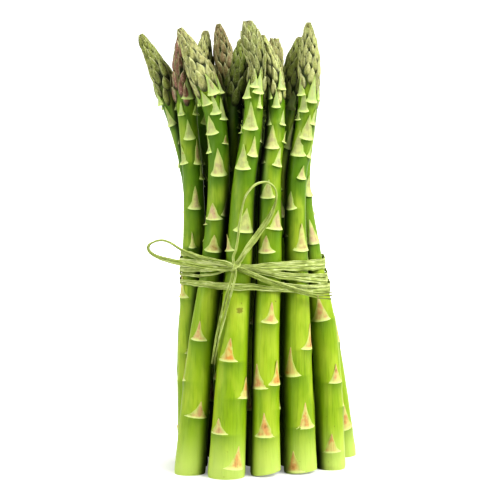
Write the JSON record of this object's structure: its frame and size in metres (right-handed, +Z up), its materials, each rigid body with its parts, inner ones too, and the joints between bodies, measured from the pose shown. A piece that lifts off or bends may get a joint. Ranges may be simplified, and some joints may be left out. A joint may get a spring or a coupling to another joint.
{
  "type": "asparagus bundle",
  "caption": "Bundle of green asparagus with scale-covered tips, tied round the middle with a raffia bow and standing on its cut ends.",
  "frame": {"origin": "on the surface that the bundle stands on, in the middle of the cut end of spear_08, an inner spear", "axes": "+Z up along the spears, -Y the side with the knot and bow, +X to the right seen from there"},
  "size_m": [0.1036, 0.0637, 0.207],
  "materials": {
    "spear": "satin",
    "raffia": "matte"
  },
  "bodies": {
    "root": {"spear_01": "spear", "spear_02": "spear", "spear_03": "spear", "spear_04": "spear", "spear_05": "spear", "spear_06": "spear", "spear_07": "spear", "spear_08": "spear", "spear_09": "spear", "spear_10": "spear", "spear_11": "spear", "spear_12": "spear", "spear_13": "spear", "spear_14": "spear", "spear_15": "spear", "raffia_band": "raffia", "raffia_loop_left": "raffia", "raffia_loop_right": "raffia", "raffia_end_down": "raffia", "raffia_end_right": "raffia"}
  },
  "joints": []
}
